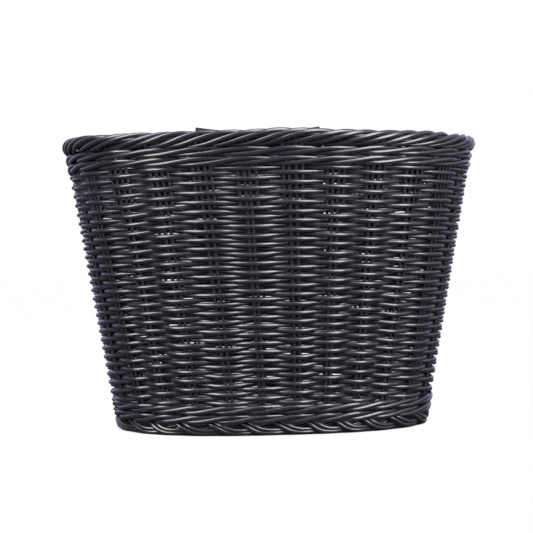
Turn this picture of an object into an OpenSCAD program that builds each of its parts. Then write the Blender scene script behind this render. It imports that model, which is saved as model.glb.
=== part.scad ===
// A woven cane basket with a D-shaped plan and leaning walls, made to hang on a handlebar.
// Pairs of stakes carry one continuous side weaver between two bands of three-rod wale.
// A rolled border closes the rim, an open border makes the foot, and a moulded plate behind
// the back wall, bolted through the weave to a plate inside, carries two bar clamps.
// X runs left to right, Y from front to back, Z up. The origin is on the floor, on the line
// where the basket is widest. All lengths are in millimetres.

/* [Basket shape] */
// Outer width across the rolled rim
rim_w = 361; // [330:1:390]
// Distance from the widest line forward to the outside of the rim
rim_front = 140; // [125:1:155]
// Distance from the widest line back to the stakes of the back wall
back_depth = 115; // [105:1:130]
// Width between the stakes where they meet the floor
foot_w = 264; // [240:1:285]
// Distance from the widest line forward to the front stakes at the floor
foot_front = 89; // [80:1:100]
// Height from the floor to the top of the rolled rim
height = 248.5; // [236:0.5:280]
// Roundness of the front: 2 is an ellipse, more is squarer
front_power = 2.5; // [2:0.1:3]
// Squareness of the back corners
back_power = 4.5; // [3.8:0.1:5.5]

/* [Canes] */
// Number of stake pairs round the basket, odd so that one weaver makes the whole wall
stakes = 29; // [25:2:31]
// Diameter of a stake strand
stake_d = 3.2; // [2.6:0.1:3.6]
// Gap between the two strands of a stake pair
strand_gap = 1.4; // [0.6:0.1:2]
// Diameter of the side weaver
weaver_d = 3.9; // [3:0.1:4.6]
// Diameter of the wale canes
wale_d = 4; // [3.4:0.1:6]
// Height of one row of the side weave, evened out so that whole rows fill the wall
row_pitch = 3.7; // [3.4:0.05:4.6]
// Cover of cane over the stakes between the floats of the weave
float_cover = 1.6; // [1.4:0.1:2]
// How far the stakes lean sideways from floor to rim, in front of the back corners
stake_lean = 9; // [0:0.5:14]
// Length of wall that the extra strands beside each pair run down from the rim band
bye_length = 32; // [20:1:50]
// Gap between an extra strand and the pair beside it
bye_gap = 0.9; // [0.4:0.1:1.5]

/* [Rim, bands and foot] */
// Thickness of the rolled rim
rim_d = 14; // [13:0.5:20]
// Height of each row of wale under the rim
upper_row_h = 7.7; // [6:0.1:9]
// Height of each row of wale above the foot
lower_row_h = 7.9; // [6:0.1:9]
// Width of the cut on the corners of the wale rows
wale_cut = 2; // [1:0.1:2.5]
// Height of the open foot border
foot_h = 9.6; // [7:0.1:12]
// Thickness of the foot border from inside to outside
foot_t = 10; // [8:0.1:12]
// Width of the flat that the foot stands on
foot_flat = 5; // [3:0.1:7]

/* [Base] */
// Number of sticks across the base
base_sticks_n = 9; // [7:2:9]
// Width of the woven base beyond the evenly spaced sticks, at each end
base_edge = 11.1; // [8:0.1:16]
// Diameter of a base stick
base_stick_d = 5; // [4:0.1:6]
// Diameter of the base weaver, above and below the sticks
base_weaver_d = 2.5; // [2:0.1:3.5]
// Thickness of the base weave midway between the sticks
base_thin = 4; // [3:0.1:6]
// Distance from the top of the foot border up to the base
base_lift = 0.4; // [0:0.1:3]
// Gap between the end of a base stick and the wall
stick_end_gap = 1; // [0.5:0.1:3]

/* [Mounting plate] */
// Width of the plate
plate_w = 122; // [120:1:140]
// Height that the plate's corners stand above the rim
plate_rise = 23.5; // [18:0.5:30]
// Height of the whole plate
plate_h = 162; // [156:1:180]
// Thickness of the plate
plate_t = 4; // [3:0.5:6]
// Dip of the plate's top edge between its corners
plate_dish = 4.8; // [2:0.1:8]
// Radius of the plate's lower corners
plate_r = 12; // [6:1:20]
// Gap between the rolled rim and the plate
plate_gap = 3.5; // [1:0.5:6]
// Thickness of the plate inside the basket
backing_t = 3; // [2:0.5:5]
// Radius of the bosses between the weave and the plate
boss_r = 8; // [7:0.5:9]
// How far the bosses bite into the weave
boss_bite = 0.4; // [0.2:0.1:1]
// Distance from the plate's lower edge up to the lower bolts
bolt_inset = 20; // [14:1:26]
// Distance between the lower and upper bolts
bolt_rise = 50; // [40:1:56]
// Diameter of the four through bolts
bolt_d = 5; // [4:0.5:6]
// Play of a bolt or screw in its hole, on the diameter
bolt_play = 0.5; // [0.3:0.1:1]
// Thickness of the washers
washer_t = 1; // [0.8:0.1:1.6]
// Length of bolt that stands past its nut
bolt_end = 1.5; // [0.5:0.5:3]
// Width of the two ribs on the back of the plate
rib_w = 3; // [2:0.5:5]
// Depth of the two ribs
rib_depth = 5; // [3:0.5:8]

/* [Bar clamps] */
// Diameter of the handlebar
bar_d = 25.4; // [22.2:0.1:26]
// Thickness of the rubber shim round the bar
shim_t = 1.5; // [1:0.1:3]
// Width of the slit that lets the shim open over the bar
shim_slit = 1.2; // [0.8:0.1:2]
// Distance between the middles of the two clamps
clamp_span = 90; // [80:1:96]
// Width of each clamp along the bar
clamp_w = 24; // [18:1:28]
// Wall of the clamp round the shim
clamp_wall = 4.5; // [3:0.5:6]
// Plastic left between the shim and the plate
saddle_wall = 2.5; // [2:0.1:5]
// Distance from the plate's corners down to the top of the clamps
clamp_drop = 5; // [4.5:0.1:10]
// Diameter of the clamp screws
clamp_screw_d = 5; // [4:0.5:6]
// Thickness of the lugs that the screws pull on
lug_t = 6; // [4:0.5:8]
// Gap between clamp cap and saddle, closed by the screws
clamp_gap = 1.5; // [0.5:0.1:2.5]
// How far the screw heads are let into the round of the caps
head_inset = 1; // [0:0.1:2]
// Plastic left beyond the screw heads at the ends of the lugs
lug_edge = 1; // [0.5:0.1:3]

/* [Hidden] */
$fn = 48;
EPS = 0.01;
OVERCUT = 1;

CANE = [0.13, 0.13, 0.14];
PLASTIC = [0.08, 0.08, 0.09];
STEEL = [0.62, 0.63, 0.65];
RUBBER = [0.05, 0.05, 0.05];

// Heights of the bands, from the floor up
weave_z = foot_h + 2 * lower_row_h;
upper_wale_z = height - rim_d - 2 * upper_row_h;
rim_z = height - rim_d / 2;
base_z = foot_h + base_lift;
base_t = base_stick_d + 2 * base_weaver_d;

// Half thickness of the wall, measured from the stakes
weave_half = stake_d / 2 + weaver_d;
wale_half = stake_d / 2 + wale_d;
weave_dip = stake_d / 2 + float_cover;

// ---- Plan of the basket ----
// The stakes stand on a surface whose section at each height is a half superellipse in
// front of the widest line and a squarer one behind it.
rim_half = rim_w / 2 - rim_d / 2;
rim_reach = rim_front - rim_d / 2;
function half_width(z) = foot_w / 2 + (rim_half - foot_w / 2) * z / rim_z;
function front_depth(z) = foot_front + (rim_reach - foot_front) * z / rim_z;
function side_depth(phi, z) = sin(phi) < 0 ? front_depth(z) : back_depth;
function side_power(phi) = sin(phi) < 0 ? front_power : back_power;

function plan_radius(phi, z) =
    let (n = side_power(phi))
    pow(pow(abs(cos(phi)) / half_width(z), n) + pow(abs(sin(phi)) / side_depth(phi, z), n), -1 / n);

function plan_normal(phi, z) =
    let (
        n = side_power(phi),
        r = plan_radius(phi, z),
        a = half_width(z),
        b = side_depth(phi, z),
        gx = sign(cos(phi)) * pow(r * abs(cos(phi)) / a, n - 1) / a,
        gy = sign(sin(phi)) * pow(r * abs(sin(phi)) / b, n - 1) / b
    )
    [gx, gy] / norm([gx, gy]);

// A point on the wall at polar angle phi and height z, off the stakes by the offset out
function wall_point(phi, z, out) =
    let (r = plan_radius(phi, z), n = plan_normal(phi, z))
    [r * cos(phi) + out * n.x, r * sin(phi) + out * n.y, z];

// ---- Even spacing round the basket ----
// The distance walked round the plan from the middle of the back, at half height, tabled
// against the polar angle, so that stakes and facets can be spaced by length.
BACK = 90;
STEPS = 360;
walk_points = [for (k = [0:STEPS]) wall_point(BACK + k * 360 / STEPS, height / 2, 0)];
steps = [for (k = [0:STEPS - 1]) norm(walk_points[k + 1] - walk_points[k])];
walked = [for (k = 0, s = 0; k <= STEPS; s = s + (k < STEPS ? steps[k] : 0), k = k + 1) s];
walk = [for (k = [0:STEPS]) [walked[k], BACK + k * 360 / STEPS]];
walk_length = walked[STEPS];
stake_spacing = walk_length / stakes;
function angle_at(s) =
    s < 0 ? lookup(s + walk_length, walk) - 360
    : s > walk_length ? lookup(s - walk_length, walk) + 360
    : lookup(s, walk);

FACETS_A_SPACE = 3;
path = [for (k = [0:stakes * FACETS_A_SPACE - 1]) angle_at(k * stake_spacing / FACETS_A_SPACE)];

// ---- Stakes ----
// Each is a straight pair. At the floor they stand evenly, and round the front they lean.
stake_bottom_z = foot_h / 2;
stake_top_z = rim_z;
stake_mid_z = (stake_bottom_z + stake_top_z) / 2;
bye_bottom_z = upper_wale_z - bye_length;
pair_pitch = stake_d + strand_gap;
bye_pitch = pair_pitch + 2 * (stake_d + bye_gap);
// The lean dies away from LEAN_FULL to LEAN_NONE, as shares of the way from the middle of the
// front round to the middle of the back, so that the stakes of the back corners stand upright.
LEAN_FULL = 0.44;
LEAN_NONE = 0.62;
function lean_share(i) =
    let (
        way = abs(2 * i / stakes - 1),
        t = min(1, max(0, (way - LEAN_FULL) / (LEAN_NONE - LEAN_FULL)))
    )
    1 - t * t * (3 - 2 * t);
function stake_angle(i, z) =
    angle_at(i * stake_spacing - lean_share(i) * stake_lean * z / rim_z);
function stake_point(i, z) = wall_point(stake_angle(i, z), z, 0);
// The stakes are straight, so where the wall bows outward they start and end a little outside
// its middle, and cross to the inside between
function stake_bow(i) =
    let (
        n = plan_normal(stake_angle(i, stake_mid_z), stake_mid_z),
        ends = stake_point(i, stake_bottom_z) + stake_point(i, stake_top_z),
        gap = stake_point(i, stake_mid_z) - ends / 2
    )
    (gap.x * n.x + gap.y * n.y) / 2;
function stake_end(i, z) = wall_point(stake_angle(i, z), z, stake_bow(i));
function stake_length(i, from_z, to_z) =
    norm(stake_end(i, stake_top_z) - stake_end(i, stake_bottom_z))
    * (to_z - from_z) / (stake_top_z - stake_bottom_z);

// Places its children at a stake, with Z along the stake and X along the wall
module at_stake(i, from_z) {
    foot = stake_end(i, stake_bottom_z);
    head = stake_end(i, stake_top_z);
    along = (head - foot) / norm(head - foot);
    start = foot + (head - foot) * (from_z - stake_bottom_z) / (stake_top_z - stake_bottom_z);
    n = plan_normal(stake_angle(i, stake_mid_z), stake_mid_z);
    sideways = cross([n.x, n.y, 0], along);
    across = sideways / norm(sideways);
    inward = cross(along, across);
    multmatrix([
        [across.x, inward.x, along.x, start.x],
        [across.y, inward.y, along.y, start.y],
        [across.z, inward.z, along.z, start.z],
        [0, 0, 0, 1]
    ])
        children();
}

// The extra strands stand beside the pair, each where the wall runs
bye_places = [for (i = [0:stakes - 1]) for (side = [-1, 1]) i + side * bye_pitch / 2 / stake_spacing];

module strand(i, from_z, to_z) {
    cylinder(d = stake_d, h = stake_length(i, from_z, to_z), $fn = 24);
}

// A slot of width w for what stands at i
module slot(i, from_z, to_z, w) {
    at_stake(i, from_z)
        translate([-w / 2, -stake_d / 2, 0])
            cube([w, stake_d, stake_length(i, from_z, to_z)]);
}

module pair_slots(from_z, to_z) {
    for (i = [0:stakes - 1])
        slot(i, from_z, to_z, pair_pitch + stake_d);
}

module bye_slots(from_z, to_z) {
    for (i = bye_places)
        slot(i, from_z, to_z, stake_d);
}

// ---- Rings round the basket ----
// A closed ring whose section is a list of [offset out from the stakes, height]
module ring(section) {
    n = len(section);
    m = len(path);
    polyhedron(
        points = [for (phi = path) for (q = section) wall_point(phi, q.y, q.x)],
        faces = [
            for (i = [0:m - 1]) for (j = [0:n - 1])
                let (
                    next = (i + 1) % m,
                    up = (j + 1) % n,
                    a = i * n + j,
                    b = next * n + j,
                    c = next * n + up,
                    d = i * n + up
                )
                each [[a, c, b], [a, d, c]]
        ]
    );
}

// A ring's section between two heights, with its corners cut
function band(half, z0, z1, cut) = [
    [half, z0 + cut], [half, z1 - cut], [half - cut, z1], [cut - half, z1],
    [-half, z1 - cut], [-half, z0 + cut], [cut - half, z0], [half - cut, z0]
];

module wale_row(z, row_h, byes) {
    color(CANE)
        difference() {
            ring(band(wale_half, z, z + row_h, wale_cut));
            pair_slots(z - OVERCUT, z + row_h + OVERCUT);
            if (byes) bye_slots(z - OVERCUT, z + row_h + OVERCUT);
        }
}

module foot_border() {
    color(CANE)
        difference() {
            ring(band(foot_t / 2, 0, foot_h, (foot_t - foot_flat) / 2));
            pair_slots(stake_bottom_z, foot_h + OVERCUT);
        }
}

module rim_border() {
    sides = 10;
    turn = 90 + 360 / sides;
    r = rim_d / 2;
    color(CANE)
        difference() {
            ring([for (k = [0:sides - 1])
                [r * cos(turn + k * 360 / sides), rim_z + r * sin(turn + k * 360 / sides)]]);
            pair_slots(rim_z - r - OVERCUT, stake_top_z);
            bye_slots(rim_z - r - OVERCUT, stake_top_z);
        }
}

// ---- Side weave ----
// One weaver climbs a row in each turn round the basket. With an odd number of stakes it
// stands out at every other crossing of stake and row, over the whole wall.
rows = floor((upper_wale_z - weave_z) / row_pitch);
row_h = (upper_wale_z - weave_z) / rows;
function row_z(i, row) = weave_z + row_h * (0.5 + (row + i / stakes) * (rows - 1) / rows);
function face_point(i, z, out) = wall_point(stake_angle(i, z), z, out);

MOST_BULGE = 0.5;

// Columns of [order, point] up one face of the wall: side 1 is the outer face, -1 the inner
function stake_column(i, side) = concat(
    [[-1, face_point(i, weave_z, side * weave_dip)]],
    [for (row = [0:rows - 1])
        let (float = (i + row + (side > 0 ? 1 : 0)) % 2 == 0)
        [row, face_point(i, row_z(i, row), side * (float ? weave_half : weave_dip))]],
    [[rows, face_point(i, upper_wale_z, side * weave_dip)]]
);
// Between two stakes the floats run down to the face, every other row
function middle_column(i, side) = concat(
    [[-1, face_point(i + 0.5, weave_z, side * weave_dip)]],
    [for (row = [(i + (side > 0 ? 1 : 0)) % 2:2:rows - 1])
        [row - 0.25, face_point(i + 0.5, row_z(i + 0.5, row), side * weave_dip)]],
    [[rows, face_point(i + 0.5, upper_wale_z, side * weave_dip)]]
);
// Where the wall bends, a column on each side of the middle one keeps to the curve
function quarter_column(i, share, side) = concat(
    [[-1, face_point(i + share, weave_z, side * weave_dip)]],
    [for (row = [0:rows - 1])
        let (float = (i + round(share) + row + (side > 0 ? 1 : 0)) % 2 == 0)
        [row - 0.1, face_point(i + share, row_z(i + share, row),
            side * (float ? (weave_half + weave_dip) / 2 : weave_dip))]],
    [[rows, face_point(i + share, upper_wale_z, side * weave_dip)]]
);
function bulge(i) =
    let (ends = face_point(i, stake_mid_z, 0) + face_point(i + 0.5, stake_mid_z, 0))
    norm(face_point(i + 0.25, stake_mid_z, 0) - ends / 2);
function bends(i) = bulge(i) > MOST_BULGE || bulge(i + 0.5) > MOST_BULGE;
function face_columns(side) = [
    for (i = [0:stakes - 1])
        each concat(
            [stake_column(i, side)],
            bends(i) ? [quarter_column(i, 0.25, side)] : [],
            [middle_column(i, side)],
            bends(i) ? [quarter_column(i, 0.75, side)] : []
        )
];

// The same columns with each point's number in the list of points, which starts at first
function numbered(columns, first) = [
    for (c = 0, start = first; c < len(columns); start = start + len(columns[c]), c = c + 1)
        [for (k = [0:len(columns[c]) - 1]) [columns[c][k][0], start + k]]
];
function climbs(a, b, i, j) =
    j == len(b) - 1 || (i < len(a) - 1 && a[i + 1][0] <= b[j + 1][0]);

// Triangles between column a and column b on its right, from the lower edge to the upper
function strip(a, b) = [
    for (
        i = 0, j = 0, rise = climbs(a, b, 0, 0);
        i + j < len(a) + len(b) - 2;
        i = i + (rise ? 1 : 0), j = j + (rise ? 0 : 1), rise = climbs(a, b, i, j)
    )
        rise ? [a[i][1], a[i + 1][1], b[j][1]] : [a[i][1], b[j + 1][1], b[j][1]]
];
function turned(faces) = [for (f = faces) [f[0], f[2], f[1]]];
// After the last column the first one follows, a row further on
function next_column(columns, c) =
    c < len(columns) - 1 ? columns[c + 1] : [for (q = columns[0]) [q[0] - 1, q[1]]];
function low(column) = column[0][1];
function high(column) = column[len(column) - 1][1];

module woven_wall() {
    outer = face_columns(1);
    inner = face_columns(-1);
    outer_points = [for (column = outer) for (q = column) q[1]];
    inner_points = [for (column = inner) for (q = column) q[1]];
    o = numbered(outer, 0);
    n = numbered(inner, len(outer_points));
    count = len(o);
    polyhedron(
        points = concat(outer_points, inner_points),
        faces = [
            for (c = [0:count - 1])
                let (d = (c + 1) % count)
                each concat(
                    strip(o[c], next_column(o, c)),
                    turned(strip(n[c], next_column(n, c))),
                    [
                        [low(o[c]), low(o[d]), low(n[c])], [low(n[c]), low(o[d]), low(n[d])],
                        [high(o[c]), high(n[c]), high(o[d])], [high(n[c]), high(n[d]), high(o[d])]
                    ]
                )
        ]
    );
}

module side_weave() {
    color(CANE)
        difference() {
            woven_wall();
            pair_slots(weave_z - OVERCUT, upper_wale_z + OVERCUT);
            bye_slots(bye_bottom_z, upper_wale_z + OVERCUT);
            at_bolts() {
                bolt_hole();
                translate([0, 0, boss_y])
                    cylinder(r = boss_r + bolt_play / 2, h = wall_out_y + OVERCUT - boss_y);
            }
        }
}

module side_stakes() {
    color(CANE)
        for (i = [0:stakes - 1])
            at_stake(i, stake_bottom_z)
                for (side = [-1, 1])
                    translate([side * pair_pitch / 2, 0, 0])
                        strand(i, stake_bottom_z, stake_top_z);
}

module bye_stakes() {
    color(CANE)
        for (i = bye_places)
            at_stake(i, bye_bottom_z)
                strand(i, bye_bottom_z, stake_top_z);
}

// ---- Base ----
// Distance from the widest line to the inside of the wall, x to one side of the middle
function base_reach(x, depth, power) =
    (depth - wale_half) * pow(1 - pow(abs(x) / (half_width(base_z) - wale_half), power), 1 / power);

module base_sticks() {
    color(CANE)
        for (k = [0:base_sticks_n - 1]) {
            x = (k - (base_sticks_n - 1) / 2) * base_pitch;
            front = base_reach(x, front_depth(base_z), front_power) - stick_end_gap;
            back = base_reach(x, back_depth, back_power) - stick_end_gap;
            translate([x, -front, base_z + base_t / 2])
                rotate([-90, 0, 0])
                    cylinder(d = base_stick_d, h = front + back, $fn = 24);
        }
}

// The places across the base where its thickness or its outline turns, and half the
// thickness there: the weave is thick over each stick and thin midway to the next
base_end = half_width(base_z) - wale_half;
base_pitch = 2 * (base_end - base_edge) / base_sticks_n;
outermost = base_sticks_n / 2 * base_pitch;
base_right = concat(
    [for (k = [base_sticks_n - 1:-1:0])
        let (x = (base_sticks_n - 1 - k) * base_pitch / 2)
        [x, (base_sticks_n - 1 - k) % 2 == 0 ? base_t / 2 : base_thin / 2]],
    [for (share = [0, 0.3, 0.6, 0.8, 0.92, 0.98])
        [outermost + share * (base_end - outermost), base_thin / 2]]
);
base_columns = concat(
    [for (k = [len(base_right) - 1:-1:1]) [-base_right[k].x, base_right[k].y]],
    base_right
);

module base_weave() {
    mid_z = base_z + base_t / 2;
    m = len(base_columns);
    color(CANE)
        difference() {
            polyhedron(
                points = concat(
                    [for (column = base_columns)
                        let (
                            front = -base_reach(column.x, front_depth(base_z), front_power),
                            back = base_reach(column.x, back_depth, back_power)
                        )
                        each [
                            [column.x, front, mid_z - column.y], [column.x, front, mid_z + column.y],
                            [column.x, back, mid_z + column.y], [column.x, back, mid_z - column.y]
                        ]],
                    [for (side = [-1, 1]) for (up = [-1, 1])
                        [side * base_end, 0, mid_z + up * base_thin / 2]]
                ),
                faces = concat(
                    [for (c = [0:m - 2]) for (k = [0:3])
                        let (a = 4 * c + k, b = 4 * c + (k + 1) % 4)
                        each [[a, b, a + 4], [a + 4, b, b + 4]]],
                    [
                        [4 * m, 1, 0], [4 * m, 4 * m + 1, 1], [4 * m + 1, 2, 1],
                        [4 * m + 1, 3, 2], [4 * m + 1, 4 * m, 3], [4 * m, 0, 3]
                    ],
                    let (z = 4 * m - 4, lo = 4 * m + 2, hi = 4 * m + 3)
                    [
                        [lo, z, z + 1], [lo, z + 1, hi], [hi, z + 1, z + 2],
                        [hi, z + 2, z + 3], [hi, z + 3, lo], [lo, z + 3, z]
                    ]
                )
            );
            for (k = [0:base_sticks_n - 1])
                translate([(k - base_sticks_n / 2 + 0.5) * base_pitch, 0, base_z + base_t / 2])
                    cube([base_stick_d, 2 * rim_w, base_stick_d], center = true);
        }
}

// ---- Mounting plate ----
plate_bottom_z = height + plate_rise - plate_h;
bolt_z = plate_bottom_z + bolt_inset;
bolt_mid_z = bolt_z + bolt_rise / 2;
plate_front_y = back_depth + rim_d / 2 + plate_gap;
plate_back_y = plate_front_y + plate_t;
plate_top_z = height + plate_rise;
wall_out_y = back_depth + weave_half;
wall_in_y = back_depth - weave_half;
boss_y = back_depth + weave_dip - boss_bite;
backing_y = wall_in_y - backing_t;
bolt_x = abs(stake_point(1, bolt_mid_z).x + stake_point(2, bolt_mid_z).x) / 2;
washer_r = bolt_d;
bolt_head_r = 0.95 * bolt_d;
bolt_head_h = 0.6 * bolt_d;
nut_h = 0.8 * bolt_d;
nut_r = 0.92 * bolt_d;

// Bar clamps: the bar runs along X behind the plate
shim_r = bar_d / 2 + shim_t;
cap_r = shim_r + clamp_wall;
screw_hole_d = clamp_screw_d + bolt_play;
screw_head_r = 0.85 * clamp_screw_d;
screw_nut_r = 0.9 * clamp_screw_d;
screw_nut_h = 0.8 * clamp_screw_d;
pocket_r = screw_nut_r + bolt_play / 2;
pocket_depth = screw_nut_h + bolt_play;
screw_z = cap_r + screw_head_r - head_inset;
lug_z = screw_z + screw_head_r + lug_edge;
rib_x = clamp_span / 2 - clamp_w / 4;
bar_y = plate_back_y + saddle_wall + shim_r;
bar_z = plate_top_z - clamp_drop - lug_z;

module at_bolts() {
    for (x = [-bolt_x, bolt_x])
        for (z = [bolt_z, bolt_z + bolt_rise])
            translate([x, 0, z])
                rotate([-90, 0, 0])
                    children();
}

module bolt_hole() {
    translate([0, 0, backing_y - OVERCUT])
        cylinder(d = bolt_d + bolt_play, h = plate_back_y - backing_y + 2 * OVERCUT);
}

// An outline in X and Z, raised along Y from y by t
module upright(y, t) {
    translate([0, y + t, 0])
        rotate([90, 0, 0])
            linear_extrude(t)
                children();
}

module round_rect(w, h, r) {
    translate([-w / 2, 0])
        hull()
            for (x = [r, w - r])
                for (z = [r, h - r])
                    translate([x, z])
                        circle(r = r, $fn = 32);
}

module at_clamps() {
    for (side = [-1, 1])
        at_clamp(side) children();
}

module at_clamp(side) {
    translate([side * clamp_span / 2, bar_y, bar_z])
        children();
}

// A cylinder along the bar, longer than the clamp by the overcut at both ends
module along_bar(r, over = 0) {
    translate([-clamp_w / 2 - over, 0, 0])
        rotate([0, 90, 0])
            cylinder(r = r, h = clamp_w + 2 * over);
}

module at_clamp_screws() {
    for (side = [-1, 1])
        translate([0, 0, side * screw_z])
            rotate([-90, 0, 0])
                children();
}

module nut(r, h, bore) {
    difference() {
        cylinder(r = r, h = h, $fn = 6);
        translate([0, 0, -OVERCUT]) cylinder(d = bore, h = h + 2 * OVERCUT);
    }
}

module plate_outline() {
    dish_r = (pow(plate_w / 2, 2) + pow(plate_dish, 2)) / (2 * plate_dish);
    difference() {
        union() {
            translate([0, plate_bottom_z])
                round_rect(plate_w, plate_h - 2 * plate_r, plate_r);
            translate([-plate_w / 2, plate_top_z - plate_h / 2])
                square([plate_w, plate_h / 2 + OVERCUT]);
        }
        translate([0, plate_top_z + dish_r - plate_dish])
            circle(r = dish_r, $fn = 180);
    }
}

module mounting_plate() {
    saddle_y = plate_back_y - bar_y - EPS;
    color(PLASTIC)
        difference() {
            union() {
                upright(plate_front_y, plate_t) plate_outline();
                at_bolts()
                    translate([0, 0, boss_y])
                        cylinder(r = boss_r, h = plate_front_y - boss_y + EPS);
                at_clamps()
                    translate([-clamp_w / 2, saddle_y, -lug_z])
                        cube([clamp_w, -clamp_gap / 2 - saddle_y, 2 * lug_z]);
                for (side = [-1, 1])
                    translate([side * rib_x - rib_w / 2, plate_back_y - EPS, plate_bottom_z + plate_r])
                        cube([rib_w, rib_depth + EPS, bar_z - lug_z - plate_bottom_z - plate_r + EPS]);
            }
            at_bolts() bolt_hole();
            at_clamps() {
                along_bar(shim_r, OVERCUT);
                at_clamp_screws()
                    translate([0, 0, plate_front_y - bar_y]) {
                        translate([0, 0, -OVERCUT])
                            cylinder(d = screw_hole_d, h = bar_y - plate_front_y + OVERCUT);
                        translate([0, 0, -EPS])
                            cylinder(r = pocket_r, h = pocket_depth + EPS, $fn = 6);
                    }
            }
        }
}

module backing_plate() {
    color(PLASTIC)
        difference() {
            upright(backing_y, backing_t)
                translate([0, bolt_z - boss_r])
                    round_rect(2 * (bolt_x + boss_r), bolt_rise + 2 * boss_r, boss_r);
            at_bolts() bolt_hole();
        }
}

module plate_bolts() {
    color(STEEL)
        at_bolts()
            translate([0, 0, backing_y - washer_t]) {
                cylinder(d = bolt_d, h = plate_back_y - backing_y + washer_t + nut_h + bolt_end);
                translate([0, 0, -bolt_head_h])
                    cylinder(r = bolt_head_r, h = bolt_head_h);
            }
}

module plate_washers() {
    color(STEEL)
        at_bolts()
            translate([0, 0, backing_y - washer_t])
                difference() {
                    cylinder(r = washer_r, h = washer_t);
                    translate([0, 0, -OVERCUT])
                        cylinder(d = bolt_d + bolt_play, h = washer_t + 2 * OVERCUT);
                }
}

module plate_nuts() {
    color(STEEL)
        at_bolts()
            translate([0, 0, plate_back_y])
                nut(nut_r, nut_h, bolt_d);
}

module clamp_cap(side) {
    color(PLASTIC)
        at_clamp(side)
            difference() {
                union() {
                    intersection() {
                        along_bar(cap_r);
                        translate([-clamp_w / 2, clamp_gap / 2, -cap_r])
                            cube([clamp_w, cap_r, 2 * cap_r]);
                    }
                    translate([-clamp_w / 2, clamp_gap / 2, -lug_z])
                        cube([clamp_w, lug_t, 2 * lug_z]);
                }
                along_bar(shim_r, OVERCUT);
                at_clamp_screws()
                    cylinder(d = screw_hole_d, h = clamp_gap / 2 + lug_t + OVERCUT);
                // Room for the screw heads where they stand close to the round of the cap
                at_clamp_screws()
                    translate([0, 0, clamp_gap / 2 + lug_t])
                        cylinder(r = screw_head_r + bolt_play / 2, h = cap_r);
            }
}

module bar_shim(side) {
    color(RUBBER)
        at_clamp(side)
            difference() {
                along_bar(shim_r);
                along_bar(bar_d / 2, OVERCUT);
                translate([-clamp_w / 2 - OVERCUT, -shim_slit / 2, 0])
                    cube([clamp_w + 2 * OVERCUT, shim_slit, shim_r + OVERCUT]);
            }
}

module clamp_screws() {
    seat = clamp_gap / 2 + lug_t;
    tip = plate_front_y - bar_y;
    socket_depth = 0.55 * clamp_screw_d;
    color(STEEL)
        at_clamps()
            at_clamp_screws() {
                translate([0, 0, tip])
                    cylinder(d = clamp_screw_d, h = seat - tip);
                difference() {
                    translate([0, 0, seat])
                        cylinder(r = screw_head_r, h = clamp_screw_d);
                    translate([0, 0, seat + clamp_screw_d - socket_depth])
                        cylinder(r = 0.46 * clamp_screw_d, h = clamp_screw_d, $fn = 6);
                }
            }
}

module clamp_nuts() {
    color(STEEL)
        at_clamps()
            at_clamp_screws()
                translate([0, 0, plate_front_y - bar_y + pocket_depth - screw_nut_h])
                    nut(screw_nut_r, screw_nut_h, clamp_screw_d);
}

base_sticks();
base_weave();
foot_border();
wale_row(foot_h, lower_row_h, false);  // lower_wale_bottom_row
wale_row(foot_h + lower_row_h, lower_row_h, false);  // lower_wale_top_row
side_stakes();
bye_stakes();
side_weave();
wale_row(upper_wale_z, upper_row_h, true);  // upper_wale_bottom_row
wale_row(upper_wale_z + upper_row_h, upper_row_h, true);  // upper_wale_top_row
rim_border();
mounting_plate();
backing_plate();
plate_bolts();
plate_washers();
plate_nuts();
clamp_cap(-1);  // clamp_cap_left
clamp_cap(1);  // clamp_cap_right
bar_shim(-1);  // bar_shim_left
bar_shim(1);  // bar_shim_right
clamp_screws();
clamp_nuts();
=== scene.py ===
"""A D-shaped basket of black plastic cane, with the plate and bar clamps behind its back wall.

Every cane is swept along its own path: one long weaver makes the wall, three rods twine each
row of wale, six strands roll round the rim and the stake pairs turn along the floor as the foot.
The canes follow the frame's own sizes. Lengths are in metres.
"""

import math
import random

import bmesh
import bpy
import numpy as np
from mathutils import Matrix, Vector


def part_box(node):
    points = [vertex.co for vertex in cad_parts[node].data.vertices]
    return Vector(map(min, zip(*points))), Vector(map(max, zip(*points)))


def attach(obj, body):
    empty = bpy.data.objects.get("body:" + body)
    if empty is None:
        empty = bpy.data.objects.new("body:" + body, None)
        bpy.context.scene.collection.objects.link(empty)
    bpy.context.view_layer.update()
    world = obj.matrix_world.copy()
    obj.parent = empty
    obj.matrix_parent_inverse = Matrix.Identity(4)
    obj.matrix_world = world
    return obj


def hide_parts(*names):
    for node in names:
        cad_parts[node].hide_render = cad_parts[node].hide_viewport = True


MM = 0.001
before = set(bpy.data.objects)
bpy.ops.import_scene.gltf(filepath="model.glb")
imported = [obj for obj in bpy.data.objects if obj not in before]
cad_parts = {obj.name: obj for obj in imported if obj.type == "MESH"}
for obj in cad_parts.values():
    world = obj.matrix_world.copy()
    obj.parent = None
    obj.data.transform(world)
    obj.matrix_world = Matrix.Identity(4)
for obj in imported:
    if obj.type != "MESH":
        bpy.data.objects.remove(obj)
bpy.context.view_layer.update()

# ---- Sizes of the basket, from the frame ----
rim_low, rim_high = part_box("rim_border")
foot_low, foot_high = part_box("foot_border")
weave_low, weave_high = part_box("side_weave")
base_low, base_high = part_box("base_weave")
RIM_R = (rim_high.z - rim_low.z) / 2
RIM_Z = rim_low.z + RIM_R
RIM_HALF = rim_high.x - RIM_R
RIM_REACH = -rim_low.y - RIM_R
BACK_DEPTH = rim_high.y - RIM_R
# The plan at the floor, and how square its front and back halves are
FOOT_HALF = 132 * MM
FOOT_REACH = 89 * MM
FRONT_POWER = 2.5
BACK_POWER = 4.5

# ---- Sizes of the canes ----
STAKES = 29
STAKE_R = 1.6 * MM
WEAVER_R = 1.93 * MM
WALE_R = 1.97 * MM
PAIR_PITCH = 4.6 * MM
BYE_PITCH = 12.8 * MM
BYE_LENGTH = 32 * MM
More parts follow.
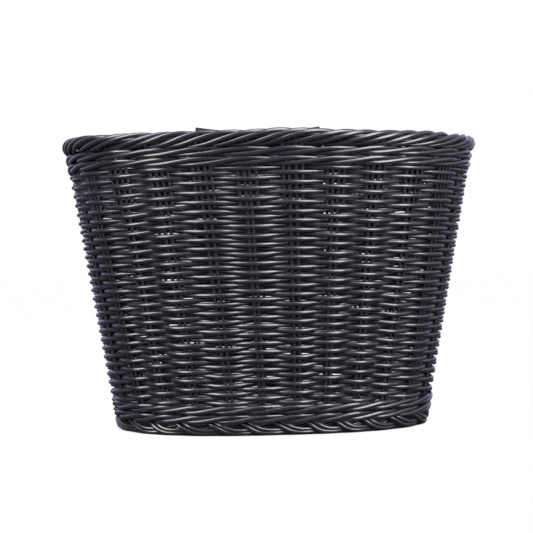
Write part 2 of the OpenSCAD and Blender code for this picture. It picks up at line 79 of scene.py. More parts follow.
# How far the stakes lean along the wall, and the shares of the way from the middle of the front
# to the middle of the back between which the lean dies out
STAKE_LEAN = 9 * MM
LEAN_FULL = 0.44
LEAN_NONE = 0.62
# How far the stakes of the front stray along the wall, at the foot and at the rim, in mm
STRAY = {10: (1, -5), 11: (-5, -1), 12: (-5, 1), 13: (-2, 0), 14: (-2, 0), 15: (2, 0), 16: (-1, -1),
         17: (-3, -3), 18: (-5, -2), 19: (-5, -2), 20: (-3, 0)}
ROWS = 52
UPPER_ROW_H = 7.7 * MM
LOWER_ROW_H = 7.9 * MM
UPPER_WALE_Z = weave_high.z
LOWER_WALE_Z = foot_high.z


# ---- Plan of the wall ----
def half_width(z):
    return FOOT_HALF + (RIM_HALF - FOOT_HALF) * z / RIM_Z


def front_reach(z):
    return FOOT_REACH + (RIM_REACH - FOOT_REACH) * z / RIM_Z


def wall_point(turn, z, out=0.0):
    """The point of the stakes' surface at polar angle turn and height z, moved outward by out."""
    across, along = math.cos(turn), math.sin(turn)
    a = half_width(z)
    b, n = (front_reach(z), FRONT_POWER) if along < 0 else (BACK_DEPTH, BACK_POWER)
    r = ((abs(across) / a) ** n + (abs(along) / b) ** n) ** (-1 / n)
    gx = math.copysign((r * abs(across) / a) ** (n - 1) / a, across)
    gy = math.copysign((r * abs(along) / b) ** (n - 1) / b, along)
    g = math.hypot(gx, gy)
    return Vector((r * across + out * gx / g, r * along + out * gy / g, z))


# The distance walked round the plan from the middle of the back, at half height
TURN_STEPS = 720
MID_Z = (rim_high.z - foot_low.z) / 2
turns = np.array([math.pi / 2 + k * math.tau / TURN_STEPS for k in range(TURN_STEPS + 1)])
ring_points = np.array([wall_point(t, MID_Z) for t in turns])
walked = np.concatenate([[0], np.cumsum(np.linalg.norm(np.diff(ring_points, axis=0), axis=1))])
SPACING = walked[-1] / STAKES


def ease(t):
    """From 0 to 1 with level ends, for t from 0 to 1."""
    return t * t * (3 - 2 * t)


def between(values, s):
    """One value for each stake, eased from stake to stake round the wall, at s spacings."""
    stake = int(s)
    t = ease(s - stake)
    return values[stake] * (1 - t) + values[(stake + 1) % STAKES] * t


def lean_share(s):
    """1 round the front, down to 0 at the back corners, where the stakes stand upright."""
    way = abs(2 * (s % STAKES) / STAKES - 1)
    return 1 - ease(min(1, max(0, (way - LEAN_FULL) / (LEAN_NONE - LEAN_FULL))))


def wall_at(s, z, out=0.0):
    """The wall at s stake spacings from the middle of the back, with the stakes' lean."""
    share = z / RIM_Z
    stake = int(s // 1)
    stray = 0
    for k, part in ((stake, 1 - s + stake), (stake + 1, s - stake)):
        low, high = STRAY.get(k % STAKES, (0, 0))
        stray += part * (low + (high - low) * share) * MM
    walk = s * SPACING - lean_share(s) * STAKE_LEAN * share + stray
    rest = walk % walked[-1]
    return wall_point(float(np.interp(rest, walked, turns)), z, out)


# ---- Making canes ----
tone_draws = random.Random(1)


def sweep(name, runs, radius, sides=10, closed=False, tones=None):
    """One mesh piece of canes: each run is a list of points, swept with a round section.

    The attribute lay holds the cosine and sine round the cane and the metres along it, and the
    attribute tone a number for each cane, so that a finish can follow the canes.
    """
    curve = bpy.data.curves.new(name, "CURVE")
    curve.dimensions = "3D"
    curve.bevel_depth = radius
    curve.bevel_resolution = (sides - 4) // 2
    curve.use_fill_caps = not closed
    for run in runs:
        spline = curve.splines.new("POLY")
        spline.points.add(len(run) - 1)
        spline.points.foreach_set("co", np.array([(*p, 1.0) for p in run]).ravel())
        spline.use_cyclic_u = closed
        spline.use_smooth = True
    shape = bpy.data.objects.new(name + "_path", curve)
    bpy.context.collection.objects.link(shape)
    depsgraph = bpy.context.evaluated_depsgraph_get()
    mesh = bpy.data.meshes.new_from_object(shape.evaluated_get(depsgraph))
    mesh.name = name
    bpy.data.objects.remove(shape)

    lay = []
    tone = []
    for number, run in enumerate(runs):
        points = np.array(run)
        steps = np.linalg.norm(np.diff(points, axis=0), axis=1)
        along = np.concatenate([[0], np.cumsum(steps)])
        for metres in along:
            for k in range(sides):
                angle = math.tau * k / sides
                lay.append((math.cos(angle), math.sin(angle), metres))
        shade = tones[number] if tones else tone_draws.random()
        tone += [shade] * (len(run) * sides)
    count = len(mesh.vertices)
    lay_data = mesh.attributes.new("lay", "FLOAT_VECTOR", "POINT").data
    lay_data.foreach_set("vector", np.resize(np.array(lay), (count, 3)).ravel())
    tone_data = mesh.attributes.new("tone", "FLOAT", "POINT").data
    tone_data.foreach_set("value", np.resize(np.array(tone), count))
    piece = bpy.data.objects.new(name, mesh)
    bpy.context.collection.objects.link(piece)
    return piece


def periodic(keys, period):
    """A smooth periodic function through (place, value) keys."""
    places = np.array([k[0] for k in keys], float)
    values = np.array([k[1] for k in keys], float)
    before, after = places - period, places + period
    xs = np.concatenate([before, places, after])
    ys = np.concatenate([values, values, values])

    def at(u):
        u %= period
        i = int(np.searchsorted(xs, u, side="right")) - 1
        x0, x1 = xs[i], xs[i + 1]
        slope0 = (ys[i + 1] - ys[i - 1]) / (xs[i + 1] - xs[i - 1])
        slope1 = (ys[i + 2] - ys[i]) / (xs[i + 2] - xs[i])
        h = x1 - x0
        t = (u - x0) / h
        return ((2 * t**3 - 3 * t**2 + 1) * ys[i] + (t**3 - 2 * t**2 + t) * h * slope0
                + (3 * t**2 - 2 * t**3) * ys[i + 1] + (t**3 - t**2) * h * slope1)

    return at


def smooth_run(keys, steps):
    """Points on a smooth line through keys, each a tuple of numbers, steps to a stretch."""
    keys = [np.array(k, float) for k in keys]
    padded = [2 * keys[0] - keys[1], *keys, 2 * keys[-1] - keys[-2]]
    run = []
    for a, b, c, d in zip(padded, padded[1:], padded[2:], padded[3:]):
        for k in range(steps):
            t = k / steps
            run.append(0.5 * (2 * b + (c - a) * t + (2 * a - 5 * b + 4 * c - d) * t**2
                              + (3 * b - a - 3 * c + d) * t**3))
    run.append(keys[-1])
    return run


# ---- Side weave ----
WEAVER_STEPS = 14
WEAVE_BANDS = 4
FLOAT_BEND = 0.36
FLOAT_SAG = 0.6 * MM
ROW_JITTER = 0.22 * MM
COLUMN_SWING = 0.7 * MM
# Radians of the columns' swing for each metre of height
SWING_RATE = 31
# Height over which the strays fade out at the top and bottom of the weave
END_FADE = 6 * MM
# Rows over which the weaver closes up on the wale, and the share of a turn it steps over in
PACKED_ROWS = 8
STEP_SHARE = 0.08


def float_wave(s):
    """-1 inside a stake pair and 1 outside the next: bent round the pairs and straight between."""
    way = abs(s % 2 - 1)
    near = min(way, 1 - way)
    slope = 2 / (1 - FLOAT_BEND)
    fall = slope * near**2 / (2 * FLOAT_BEND) if near < FLOAT_BEND else slope * (near - FLOAT_BEND / 2)
    return 1 - fall if way < 0.5 else fall - 1


def packing(turn):
    """How many rows the weaver is pushed up or down there, to close up on the wale at each end."""
    part = turn % 1
    near_top = max(0, min(1, 1 - (ROWS - 1 - turn) / PACKED_ROWS))
    near_bottom = max(0, min(1, 1 - (turn - 1) / PACKED_ROWS))
    top = (1 - part) * min(1, part / STEP_SHARE) * near_top
    bottom = part * min(1, (1 - part) / STEP_SHARE) * near_bottom
    return top - bottom


def side_weave():
    """The wall: one weaver, outside one stake pair and inside the next, all the way up."""
    rng = random.Random(3)
    pitch = (weave_high.z - weave_low.z) / ROWS
    reach = STAKE_R + WEAVER_R
    crossings = ROWS * STAKES
    jitter = [rng.gauss(0, ROW_JITTER) for _ in range(crossings + 2)]
    swing = [rng.uniform(0, math.tau) for _ in range(STAKES)]

    def wander(s, z):
        i = int(s)
        t = ease(s - i)
        ends = [jitter[k] + COLUMN_SWING * math.sin(swing[k % STAKES] + SWING_RATE * z) for k in (i, i + 1)]
        return ends[0] * (1 - t) + ends[1] * t

    def place(n):
        s = n / WEAVER_STEPS
        z = weave_low.z + pitch * (0.5 + s / STAKES * (ROWS - 1) / ROWS)
        fade = min(1, (z - weave_low.z) / END_FADE, (weave_high.z - z) / END_FADE)
        z += pitch * packing(s / STAKES)
        wave = float_wave(s)
        return wall_at(s, z + fade * wander(s, z) - FLOAT_SAG * wave, reach * wave)

    total = crossings * WEAVER_STEPS
    pieces = []
    for band in range(WEAVE_BANDS):
        first, last = (round(total * k / WEAVE_BANDS) for k in (band, band + 1))
        run = [place(n) for n in range(first, last + 1)]
        pieces.append(sweep(f"side_weave_{band + 1}", [run], WEAVER_R, tones=[0.5]))
    return pieces


# ---- Stakes ----
STRAND_STEPS = 14
STRAND_SHIFT = 0.25 * MM
STRAND_WANDER = 0.12 * MM
STRAND_DEPTH = 0.08 * MM


def strands(bottom, top, pitch, seed):
    """Two strands at every stake, pitch apart, from height bottom to height top."""
    rng = random.Random(seed)
    runs = []
    for i in range(STAKES):
        for side in (-1, 1):
            shift = rng.gauss(0, STRAND_SHIFT)
            run = []
            for k in range(STRAND_STEPS + 1):
                z = bottom + (top - bottom) * k / STRAND_STEPS
                s = i + (side * pitch / 2 + shift + rng.gauss(0, STRAND_WANDER)) / SPACING
                run.append(wall_at(s, z, rng.gauss(0, STRAND_DEPTH)))
            runs.append(run)
    return runs


def side_stakes():
    return sweep("side_stakes", strands(foot_high.z, RIM_Z, PAIR_PITCH, 5), STAKE_R)


def bye_stakes():
    return sweep("bye_stakes", strands(UPPER_WALE_Z - BYE_LENGTH, RIM_Z, BYE_PITCH, 6), STAKE_R)


# ---- Wale ----
WALE_STEPS = 12
WALE_WOBBLE = 0.15 * MM
WALE_RODS = 3
# Outside the pairs at 0 and 1 and inside the one at 2, as (stake spacings, share of the reach)
wale_out = periodic([(0, 1), (0.5, 1.08), (1, 1), (1.16, 0.82), (1.5, 0), (1.84, -0.82), (2, -1),
                     (2.16, -0.82), (2.5, 0), (2.84, 0.82)], WALE_RODS)
# Below the row's middle at 0 and above it at 1, as (stake spacings, rod radii)
wale_lift = periodic([(0, -1), (0.2, -0.72), (0.5, 0), (0.8, 0.72), (1, 1), (1.2, 1.06), (1.5, 1),
                      (2, 0), (2.5, -1), (2.8, -1.06)], WALE_RODS)


def wale_row(name, z, row_h, phase, seed):
    """Three rods, each outside two stake pairs and inside the third, rising to the right outside."""
    rng = random.Random(seed)
    reach = STAKE_R + WALE_R
    runs = []
    for rod in range(WALE_RODS):
        wobble = [rng.gauss(0, WALE_WOBBLE) for _ in range(STAKES)]
        run = []
        for n in range(STAKES * WALE_STEPS):
            s = n / WALE_STEPS
            u = s + rod + phase
            lift = row_h / 2 + WALE_R * wale_lift(u) + between(wobble, s)
            run.append(wall_at(s, z + lift, reach * wale_out(u)))
        runs.append(run)
    return sweep(name, runs, WALE_R, sides=12, closed=True)


# ---- Rim ----
ROPE_R = 4.95 * MM
ROPE_CANE_R = 1.97 * MM
ROPE_STRANDS = 6
ROPE_LEAD = 3
ROPE_STEPS = 12
PAIR_ANGLE = math.radians(52)
LOOSE_ANGLE = math.radians(3)
LOOSE_OUT = 0.18 * MM
CORE_STRANDS = 3
CORE_R = 2.2 * MM
TAIL_RISE = 1.6 * MM
TAIL_INSIDE = 3.2 * MM
# How far the roll stands above or below its mean height at the stakes of the front, in mm
RIM_SWAY = {11: -1.2, 12: -1.4, 13: -1.6, 14: -0.8, 15: 0.6, 16: -1.1, 17: -1.5, 18: -1.2, 19: -1.5,
            20: -1.1, 21: -0.5}
rim_sway = [RIM_SWAY.get(k, 0) * MM for k in range(STAKES)]


def roll_point(s, angle, r):
    """The point at that angle and distance round the middle of the roll, at s stake spacings."""
    return wall_at(s, RIM_Z + between(rim_sway, s) + r * math.sin(angle), r * math.cos(angle))


def rim_border():
    """Six strands in three pairs rolled round the stakes' ends, a core of three and the tail inside."""
    rng = random.Random(8)
    runs = []
    for strand in range(ROPE_STRANDS):
        start = (strand // 2) * math.tau / 3 + (strand % 2) * PAIR_ANGLE
        loose = [rng.gauss(0, 1) for _ in range(STAKES)]
        run = []
        for n in range(STAKES * ROPE_STEPS):
            s = n / ROPE_STEPS
            stray = between(loose, s)
            angle = start + math.tau * s / ROPE_LEAD + LOOSE_ANGLE * stray
            run.append(roll_point(s, angle, ROPE_R + LOOSE_OUT * stray))
        runs.append(run)
    places = [n / ROPE_STEPS for n in range(STAKES * ROPE_STEPS)]
    for strand in range(CORE_STRANDS):
        start = strand * math.tau / CORE_STRANDS
        runs.append([roll_point(s, start + math.tau * s / ROPE_LEAD, CORE_R) for s in places])
    runs.append([wall_at(s, rim_low.z + TAIL_RISE, -TAIL_INSIDE) for s in places])
    return sweep("rim_border", runs, ROPE_CANE_R, sides=12, closed=True)


# ---- Foot ----
# Each strand's way from its stake, as (stake spacings along, height, distance out), in mm
LOWER_STRAND = [(0.0, 15, 0), (0.1, 12.6, -1.2), (0.2, 11, -0.8), (0.31, 9.4, 1.4), (0.45, 7.2, 3.1),
                (0.62, 4.6, 3.8), (0.8, 2.7, 3.8), (1.0, 1.85, 3.6), (1.25, 1.65, 2.9), (1.5, 1.9, 1.2),
                (1.75, 2.6, -1.3), (2.05, 4.2, -3.0), (2.4, 6.5, -3.2)]
UPPER_STRAND = [(0.1, 15, 0), (0.25, 12.8, -1.3), (0.42, 11.2, -0.8), (0.56, 9.5, 1.4), (0.7, 7.6, 3.2),
                (0.86, 5.7, 3.9), (1.05, 4.5, 3.9), (1.3, 4.15, 2.9), (1.5, 4.3, 1.3), (1.7, 4.7, -0.7),
                (1.95, 5.6, -2.7), (2.3, 7.5, -3.4), (2.6, 9, -3.4)]
FOOT_STEPS = 5
# How far a strand strays, in stake spacings along and in mm up
FOOT_STRAY = 0.03
FOOT_LIFT = 0.3


def foot_border():
    """At every stake the pair turns down in front, along the floor and in behind the next pairs."""
    rng = random.Random(11)
    runs = []
    for i in range(STAKES):
        for keys in (LOWER_STRAND, UPPER_STRAND):
            du = rng.gauss(0, FOOT_STRAY)
            dz = abs(rng.gauss(0, FOOT_LIFT))
            run = smooth_run(keys, FOOT_STEPS)
            runs.append([wall_at(i + u + du, (z + dz) * MM, out * MM) for u, z, out in run])
    return sweep("foot_border", runs, STAKE_R)


# ---- Base ----
BASE_STICKS = 9
BASE_PITCH = 26 * MM
BASE_STICK_R = 2.5 * MM
BASE_WEAVER_R = 1.25 * MM
BASE_ROW_PITCH = 2.62 * MM
BASE_STEPS = 8
STICK_STEPS = 10
BASE_ROW_DRIFT = 0.12 * MM
BASE_WANDER = 0.03 * MM
BASE_Z = (base_low.z + base_high.z) / 2
WALL_INSIDE = 6.6 * MM
BASE_HALF = half_width(BASE_Z) - WALL_INSIDE
BASE_FRONT = front_reach(BASE_Z) - WALL_INSIDE
BASE_BACK = BACK_DEPTH - WALL_INSIDE


def base_span(y):
    """Half the width of the base at y."""
    depth, n = (BASE_FRONT, FRONT_POWER) if y < 0 else (BASE_BACK, BACK_POWER)
    share = abs(y) / depth
    return BASE_HALF * (1 - share**n) ** (1 / n) if share < 1 else 0


def base_depth(x):
    """The front and back ends of the base at x."""
    share = abs(x) / BASE_HALF
    front = -BASE_FRONT * (1 - share**FRONT_POWER) ** (1 / FRONT_POWER)
    back = BASE_BACK * (1 - share**BACK_POWER) ** (1 / BACK_POWER)
    return front, back


def base_sticks():
    runs = []
    for k in range(BASE_STICKS):
        x = (k - (BASE_STICKS - 1) / 2) * BASE_PITCH
        front, back = base_depth(x)
        runs.append([(x, front + (back - front) * t / STICK_STEPS, BASE_Z) for t in range(STICK_STEPS + 1)])
    return sweep("base_sticks", runs, BASE_STICK_R, sides=12)


def base_weave():
    """Rows across the sticks, over one and under the next."""
    rng = random.Random(13)
    reach = BASE_STICK_R + BASE_WEAVER_R
    runs = []
    front, back = base_depth(0)
    count = int((back - front) / BASE_ROW_PITCH)
    for row in range(count):
        y = front + (row + 0.5) * (back - front) / count
        span = base_span(y)
        points = max(2, int(2 * span / BASE_PITCH * BASE_STEPS))
        drift = rng.gauss(0, BASE_ROW_DRIFT)
        run = []
        for k in range(points + 1):
            x = -span + 2 * span * k / points
            wave = math.cos(math.pi * (x / BASE_PITCH + row))
            run.append((x, y + drift + rng.gauss(0, BASE_WANDER), BASE_Z + reach * wave))
        runs.append(run)
    return sweep("base_weave", runs, BASE_WEAVER_R, sides=8)


# ---- Finishes ----
def feed(tree, socket, value):
    """Set the socket to a number, or link another node's output to it."""
    if isinstance(value, (int, float)):
        socket.default_value = value
    else:
        tree.links.new(value, socket)


def calc(tree, operation, *values):
    node = tree.nodes.new("ShaderNodeMath")
    node.operation = operation
    for socket, value in zip(node.inputs, values):
        feed(tree, socket, value)
    return node.outputs[0]


def noise(tree, vector, scale, detail):
    node = tree.nodes.new("ShaderNodeTexNoise")
    tree.links.new(vector, node.inputs["Vector"])
    feed(tree, node.inputs["Scale"], scale)
    node.inputs["Detail"].default_value = detail
    return node.outputs["Fac"]


def blend(tree, share, dark, light):
    mix = tree.nodes.new("ShaderNodeMix")
    mix.data_type = "RGBA"
    for socket, value in (("Factor", share), ("A", dark), ("B", light)):
        tree.links.new(value, mix.inputs[socket])
    return mix.outputs["Result"]


def look_group(name, extra):
    """A node group with the sockets of a finish and one more input, with its two end nodes."""
    group = bpy.data.node_groups.new(name, "ShaderNodeTree")
    colour, number = "NodeSocketColor", "NodeSocketFloat"
    takes = (("Dark", colour), ("Light", colour), ("Roughness", number), (extra, number))
    gives = (("Color", colour), ("Roughness", number), ("Height", number))
    for side, names in (("INPUT", takes), ("OUTPUT", gives)):
        for socket, kind in names:
            group.interface.new_socket(socket, in_out=side, socket_type=kind)
    return group, group.nodes.new("NodeGroupInput").outputs, group.nodes.new("NodeGroupOutput").inputs


# The cane's streaks: how the lay is stretched, and the scale over it
STREAK_STRETCH = (2.6, 2.6, 14)
STREAK_SCALE = 2.2
MOTTLE_SCALE = 70
FINE_SCALE = 900
CLOUD_SCALE = 35


def cane_skin():
    """Node group: the tone, streaks and mottle of extruded plastic cane."""
    group, given, out = look_group("cane_skin", "Spread")
    add, link = group.nodes.new, group.links.new
    lay, tone = add("ShaderNodeAttribute"), add("ShaderNodeAttribute")
    lay.attribute_name = "lay"
    tone.attribute_name = "tone"
    stretch = add("ShaderNodeMapping")
    stretch.inputs["Scale"].default_value = STREAK_STRETCH
    link(lay.outputs["Vector"], stretch.inputs["Vector"])
    place = add("ShaderNodeTexCoord").outputs["Object"]
    streaks = noise(group, stretch.outputs["Vector"], STREAK_SCALE, 5)
    mottle = noise(group, place, MOTTLE_SCALE, 3)
    fine = noise(group, place, FINE_SCALE, 2)
    # Half the streaks, 0.3 of the mottle and 0.2 of the cane's own tone
    both = calc(group, "ADD", calc(group, "MULTIPLY", streaks, 0.5), calc(group, "MULTIPLY", mottle, 0.3))
    share = calc(group, "ADD", both, calc(group, "MULTIPLY", tone.outputs["Fac"], 0.2))
    link(blend(group, share, given["Dark"], given["Light"]), out["Color"])
    rough = calc(group, "MULTIPLY", calc(group, "SUBTRACT", share, 0.5), given["Spread"])
    link(calc(group, "ADD", given["Roughness"], rough), out["Roughness"])
    coarse = calc(group, "MULTIPLY", streaks, 0.8)
    link(calc(group, "ADD", coarse, calc(group, "MULTIPLY", fine, 0.2)), out["Height"])
    return group


def moulded_grain():
    """Node group: the fine spark grain and faint scuffs of a moulding."""
    group, given, out = look_group("moulded_grain", "Grain")
    link = group.links.new
    place = group.nodes.new("ShaderNodeTexCoord").outputs["Object"]
    grain = noise(group, place, given["Grain"], 4)
    cloud = noise(group, place, CLOUD_SCALE, 6)
    link(blend(group, cloud, given["Dark"], given["Light"]), out["Color"])
    link(calc(group, "MULTIPLY_ADD", cloud, 0.25, given["Roughness"]), out["Roughness"])
    link(grain, out["Height"])
    return group


def finish(name, group, values, bump, depth, metallic=0.0, shine=0.5):
    """A material of one shader fed by a node group, with a bump of that strength and depth."""
    material = bpy.data.materials.new(name)
    material.use_nodes = True
    nodes, links = material.node_tree.nodes, material.node_tree.links
    shader = nodes["Principled BSDF"]
    shader.inputs["Metallic"].default_value = metallic
    shader.inputs["Specular IOR Level"].default_value = shine
    look = nodes.new("ShaderNodeGroup")
    look.node_tree = group
    for socket, value in values.items():
        look.inputs[socket].default_value = value
    relief = nodes.new("ShaderNodeBump")
    relief.inputs["Strength"].default_value = bump
    relief.inputs["Distance"].default_value = depth
    links.new(look.outputs["Color"], shader.inputs["Base Color"])
    links.new(look.outputs["Roughness"], shader.inputs["Roughness"])
    links.new(look.outputs["Height"], relief.inputs["Height"])
    links.new(relief.outputs["Normal"], shader.inputs["Normal"])
    return material


skin = cane_skin()
grain = moulded_grain()
CANE = finish("black_cane", skin,
              {"Dark": (0.0093, 0.0089, 0.016, 1), "Light": (0.0289, 0.027, 0.0435, 1),
               "Roughness": 0.27, "Spread": 0.15}, bump=0.2, depth=0.05 * MM, shine=1.0)
CANE.node_tree.nodes["Principled BSDF"].inputs["IOR"].default_value = 1.6
PLATE = finish("moulded_black", grain,
               {"Dark": (0.006, 0.006, 0.008, 1), "Light": (0.014, 0.014, 0.017, 1),
                "Roughness": 0.42, "Grain": 2600}, bump=0.3, depth=0.08 * MM, shine=0.35)
STEEL = finish("zinc_steel", grain,
               {"Dark": (0.42, 0.43, 0.44, 1), "Light": (0.62, 0.62, 0.62, 1),
                "Roughness": 0.22, "Grain": 1400}, bump=0.15, depth=0.05 * MM, metallic=1.0)
RUBBER = finish("shim_rubber", grain,
                {"Dark": (0.012, 0.012, 0.012, 1), "Light": (0.026, 0.026, 0.026, 1),
                 "Roughness": 0.62, "Grain": 1800}, bump=0.4, depth=0.08 * MM)


# ---- Pieces ----
def cane_piece(piece, node):
    piece.data.materials.clear()
    piece.data.materials.append(CANE)
    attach(piece, "root")
    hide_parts(node)


for piece in side_weave():
    cane_piece(piece, "side_weave")
cane_piece(side_stakes(), "side_stakes")
cane_piece(bye_stakes(), "bye_stakes")
# Each row of wale, as (name, height of its lower edge, row height, phase, seed)
for name, z, row_h, phase, seed in (
        ("lower_wale_bottom_row", LOWER_WALE_Z, LOWER_ROW_H, 0, 21),
        ("lower_wale_top_row", LOWER_WALE_Z + LOWER_ROW_H, LOWER_ROW_H, 0.06, 22),
        ("upper_wale_bottom_row", UPPER_WALE_Z, UPPER_ROW_H, 0, 23),
        ("upper_wale_top_row", UPPER_WALE_Z + UPPER_ROW_H, UPPER_ROW_H, 0.04, 24)):
    cane_piece(wale_row(name, z, row_h, phase, seed), name)
cane_piece(rim_border(), "rim_border")
cane_piece(foot_border(), "foot_border")
cane_piece(base_sticks(), "base_sticks")
cane_piece(base_weave(), "base_weave")


WELD_REACH = 0.002 * MM
SHARP_ANGLE = math.radians(35)


def soften(node, material, bevel):
    """A CAD node as it is, with its edges rounded and its finish on."""
    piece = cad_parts[node]
    piece.data.materials.clear()
    piece.data.materials.append(material)
    weld = piece.modifiers.new("weld", "WELD")
    weld.merge_threshold = WELD_REACH
    edge = piece.modifiers.new("edge", "BEVEL")
    edge.width = bevel
    edge.segments = 2
    edge.limit_method = "ANGLE"
    edge.angle_limit = SHARP_ANGLE
    edge.harden_normals = True
    for face in piece.data.polygons:
        face.use_smooth = True


for node in ("mounting_plate", "backing_plate", "clamp_cap_left", "clamp_cap_right"):
    soften(node, PLATE, 0.6 * MM)
for node in ("bar_shim_left", "bar_shim_right"):
    soften(node, RUBBER, 0.2 * MM)
for node in ("plate_bolts", "plate_washers", "plate_nuts", "clamp_screws", "clamp_nuts"):
    soften(node, STEEL, 0.25 * MM)


# ---- Floor, light and camera ----
ROOM_LIGHT = 0.02
ROOM_COLOUR = (0.9, 0.92, 1, 1)
# The room as a reflection shows it: its colour, its dimmest share in front, and the parts of the
# way from front to back between which it brightens
ROOM_BLUE = (0.7, 0.72, 1, 1)
DIM_SIDE = 0.055
DIM_END = 0.1
BRIGHT_START = 0.8
FLOOR_HALF = 6
FLOOR_DROP = 0.2 * MM
FLOOR_PAINT = (0.04, 0.04, 0.04, 1)
FLOOR_GLOW = 1.1
# Shares of the glow that a reflection and the camera see
FLOOR_SHINE = 0.03
FLOOR_WHITE = 0.9
# Painted shade under the basket, from ambient occlusion: how far it feels for cover, and the open shares at
# which it cuts the camera's white glow to black and leaves it clear
PAINTED_SHADE_REACH = 0.06
PAINTED_SHADE_BLACK = 0.28
PAINTED_SHADE_CLEAR = 0.42
LAMP_TINT = (1, 0.985, 0.965)


def ramp(tree, value, low, high, floor=0.0):
    """value's share of the way from low to high, from floor up to 1."""
    node = tree.nodes.new("ShaderNodeMapRange")
    node.inputs["From Min"].default_value = low
    node.inputs["From Max"].default_value = high
    node.inputs["To Min"].default_value = floor
    tree.links.new(value, node.inputs["Value"])
    return node.outputs[0]


def two_shaders(tree, share, first, second, end):
    """The second shader by that share over the first, as the Surface of the end node."""
    mix = tree.nodes.new("ShaderNodeMixShader")
    for socket, value in ((0, share), (1, first.outputs[0]), (2, second.outputs[0])):
        tree.links.new(value, mix.inputs[socket])
    tree.links.new(mix.outputs[0], tree.nodes[end].inputs["Surface"])


def studio_world():
    """White all round to the camera, and to a reflection white behind the basket and dim in front."""
    world = bpy.data.worlds.new("studio")
    bpy.context.scene.world = world
    world.use_nodes = True
    tree = world.node_tree
    room = tree.nodes["Background"]
    room.inputs["Color"].default_value = ROOM_COLOUR
    room.inputs["Strength"].default_value = ROOM_LIGHT
    seen = tree.nodes.new("ShaderNodeBackground")
    path = tree.nodes.new("ShaderNodeLightPath")
    tint = tree.nodes.new("ShaderNodeMix")
    tint.data_type = "RGBA"
    tint.inputs["A"].default_value = (1, 1, 1, 1)
    tint.inputs["B"].default_value = ROOM_BLUE
    tree.links.new(path.outputs["Is Glossy Ray"], tint.inputs["Factor"])
    tree.links.new(tint.outputs["Result"], seen.inputs["Color"])
    way = tree.nodes.new("ShaderNodeTexCoord")
    parts = tree.nodes.new("ShaderNodeSeparateXYZ")
    tree.links.new(way.outputs["Generated"], parts.inputs[0])
    grade = ramp(tree, parts.outputs["Y"], DIM_END, BRIGHT_START, DIM_SIDE)
    total = calc(tree, "MULTIPLY", path.outputs["Is Glossy Ray"], grade)
    for kind in ("Is Camera Ray", "Is Transmission Ray"):
        total = calc(tree, "MAXIMUM", total, path.outputs[kind])
    two_shaders(tree, total, room, seen, "World Output")


def studio_floor():
    """A floor that the camera sees as white, but for painted shade under the basket, where ambient
    occlusion takes the white glow away and the dark floor shows.
    """
    mesh = bpy.data.meshes.new("floor")
    shape = bmesh.new()
    bmesh.ops.create_grid(shape, x_segments=1, y_segments=1, size=FLOOR_HALF)
    shape.to_mesh(mesh)
    shape.free()
    floor = bpy.data.objects.new("floor", mesh)
    bpy.context.collection.objects.link(floor)
    floor.location.z = -FLOOR_DROP
    paint = bpy.data.materials.new("floor_white")
    paint.use_nodes = True
    tree = paint.node_tree
    matt = tree.nodes["Principled BSDF"]
    matt.inputs["Base Color"].default_value = FLOOR_PAINT
    matt.inputs["Roughness"].default_value = 0.9
    glow = tree.nodes.new("ShaderNodeEmission")
    glow.inputs["Strength"].default_value = FLOOR_GLOW
    path = tree.nodes.new("ShaderNodeLightPath")
    cover = tree.nodes.new("ShaderNodeAmbientOcclusion")
    cover.inputs["Distance"].default_value = PAINTED_SHADE_REACH
    # Painted shade: ambient occlusion, not the lamps, takes the camera's white glow away under the basket
    # and faintly beside its foot; the dark matt floor that shows there is in real shadow.
    white = calc(tree, "MULTIPLY", path.outputs["Is Camera Ray"], FLOOR_WHITE)
    under = ramp(tree, cover.outputs["AO"], PAINTED_SHADE_BLACK, PAINTED_SHADE_CLEAR)
    shade = calc(tree, "MULTIPLY", white, under)
    total = calc(tree, "MULTIPLY_ADD", path.outputs["Is Glossy Ray"], FLOOR_SHINE, shade)
    two_shaders(tree, total, matt, glow, "Material Output")
    mesh.materials.append(paint)


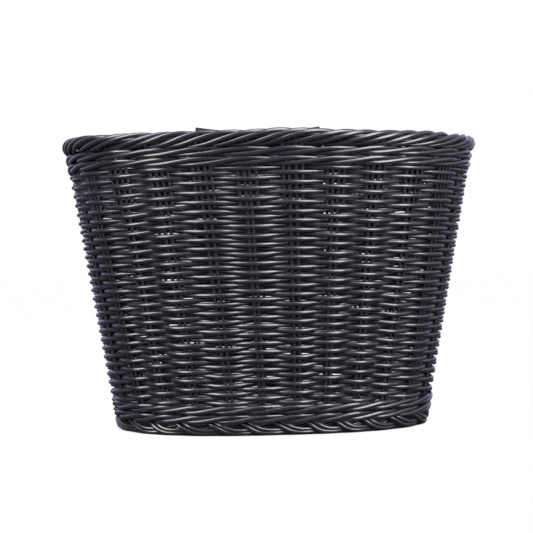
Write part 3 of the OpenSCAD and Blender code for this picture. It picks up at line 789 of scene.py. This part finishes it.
def softbox(name, azimuth, elevation, distance, width, height, watts):
    """A lamp at azimuth degrees to the right of the front, facing the middle of the basket."""
    lamp = bpy.data.lights.new(name, "AREA")
    lamp.shape = "RECTANGLE"
    lamp.size = width
    lamp.size_y = height
    lamp.energy = watts
    lamp.color = LAMP_TINT
    holder = bpy.data.objects.new(name, lamp)
    bpy.context.collection.objects.link(holder)
    a, e = math.radians(azimuth), math.radians(elevation)
    middle = Vector((0, 0, rim_high.z / 2))
    place = middle + distance * Vector((math.sin(a) * math.cos(e), -math.cos(a) * math.cos(e), math.sin(e)))
    holder.location = place
    holder.rotation_euler = (middle - place).to_track_quat("-Z", "Y").to_euler()


# The camera that the photograph's outline gives, in a frame of 533 by 533
PHOTO_WIDTH = 533
PHOTO_FOCAL = 1351
PHOTO_CENTRE_X = 270.1
SENSOR = 36
CAMERA_DISTANCE = 1.2
CAMERA_HEIGHT = 0.1564
CAMERA_YAW = 0.0794
CAMERA_PITCH = -0.0162
CAMERA_ROLL = 0.015


def camera():
    lens = bpy.data.cameras.new("camera")
    lens.sensor_width = SENSOR
    lens.lens = PHOTO_FOCAL / PHOTO_WIDTH * SENSOR
    lens.shift_x = (PHOTO_WIDTH / 2 - PHOTO_CENTRE_X) / PHOTO_WIDTH
    holder = bpy.data.objects.new("camera", lens)
    bpy.context.collection.objects.link(holder)
    ahead = Vector((math.sin(CAMERA_YAW), math.cos(CAMERA_YAW), 0))
    aim = math.cos(CAMERA_PITCH) * ahead + math.sin(CAMERA_PITCH) * Vector((0, 0, 1))
    right = Vector((math.cos(CAMERA_YAW), -math.sin(CAMERA_YAW), 0))
    up = right.cross(aim)
    x_axis = math.cos(CAMERA_ROLL) * right - math.sin(CAMERA_ROLL) * up
    y_axis = math.cos(CAMERA_ROLL) * up + math.sin(CAMERA_ROLL) * right
    place = CAMERA_HEIGHT * Vector((0, 0, 1)) - CAMERA_DISTANCE * ahead
    turn = Matrix((x_axis, y_axis, -aim)).transposed().to_4x4()
    holder.matrix_world = Matrix.Translation(place) @ turn
    bpy.context.scene.camera = holder


studio_world()
studio_floor()
softbox("left_light", azimuth=-53, elevation=39, distance=1.6, width=0.75, height=2.3, watts=34)
softbox("right_light", azimuth=38, elevation=39, distance=1.6, width=0.75, height=2.3, watts=36)
softbox("right_fill", azimuth=74, elevation=25, distance=1.6, width=1.6, height=1.6, watts=5)
camera()
bpy.context.scene.view_settings.view_transform = "Standard"
